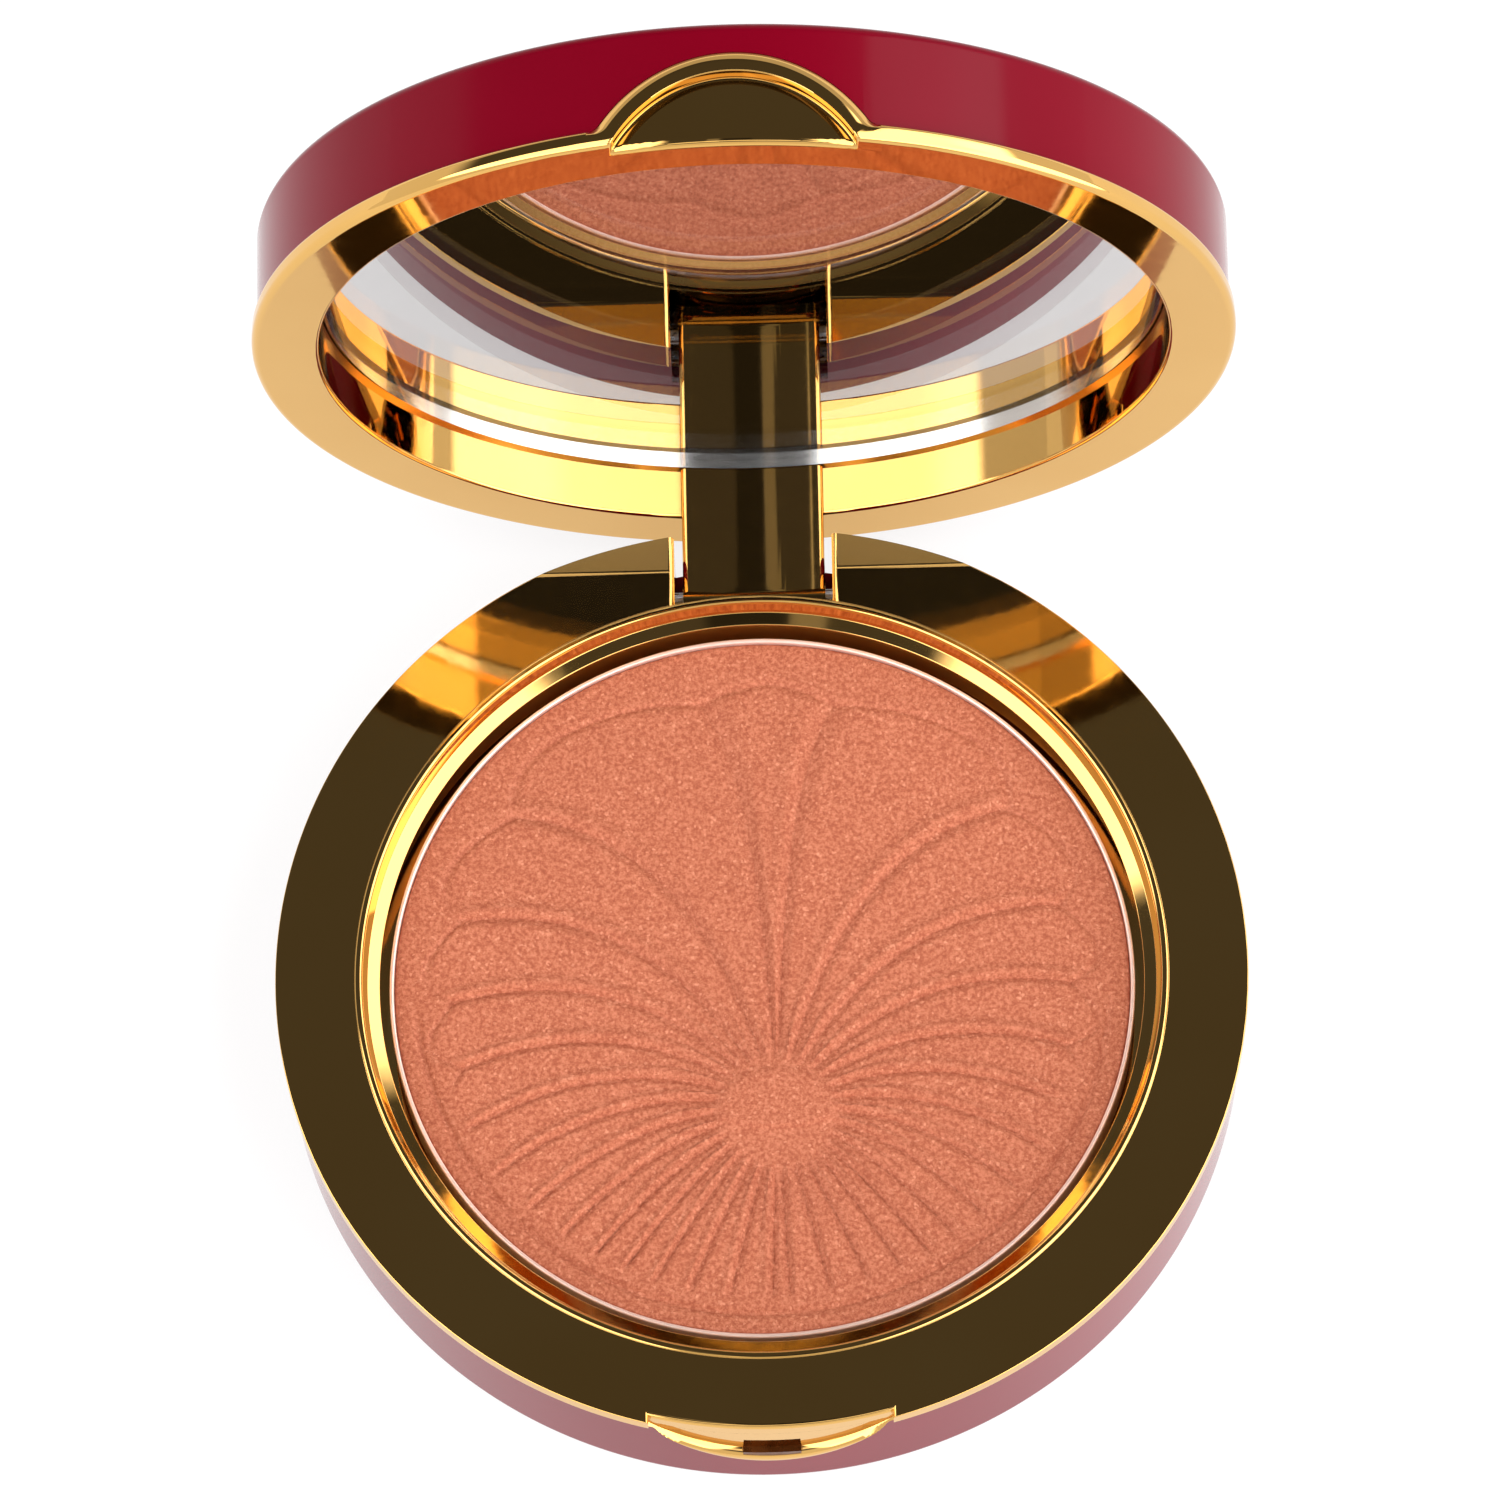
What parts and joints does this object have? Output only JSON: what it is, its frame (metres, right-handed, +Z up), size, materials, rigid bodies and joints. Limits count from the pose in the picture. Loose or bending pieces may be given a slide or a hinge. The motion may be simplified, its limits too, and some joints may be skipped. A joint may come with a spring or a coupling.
{
  "type": "powder compact",
  "caption": "Round hinged powder compact: lacquered shells with mirror-gold rims, a bevelled mirror in the lid and an embossed powder cake in the base.",
  "frame": {"origin": "centre of the base's flat underside", "axes": "+Z up; the thumb scoop faces -Y; the hinge axis runs along X on the +Y side; the lid stands open at rest"},
  "size_m": [0.076, 0.0897, 0.0773],
  "materials": {
    "lacquer": "deep red high-gloss lacquer",
    "gold": "metallised mirror gold",
    "catch": "dark bronze, smooth",
    "pan": "plain pressed sheet",
    "powder": "pressed peach-coral powder with fine shimmer",
    "adhesive": "soft adhesive pad",
    "steel": "drawn pin",
    "mirror": "silvered glass with a bevelled edge"
  },
  "bodies": {
    "base": {"base_shell": "lacquer", "base_frame": "gold", "base_thumb_scoop": "gold", "latch_catch": "catch", "powder_pan": "pan", "pressed_powder": "powder", "pan_adhesive": "adhesive", "hinge_pin": "steel"},
    "lid": {"lid_shell": "lacquer", "lid_frame": "gold", "lid_thumb_plate": "gold", "mirror": "mirror", "mirror_adhesive": "adhesive"}
  },
  "joints": [
    {"name": "lid_hinge", "type": "hinge", "parent": "base", "child": "lid", "pos_m": [0, 0.034, 0.00555], "axis": [1, 0, 0], "range_deg": [0, 91]}
  ]
}
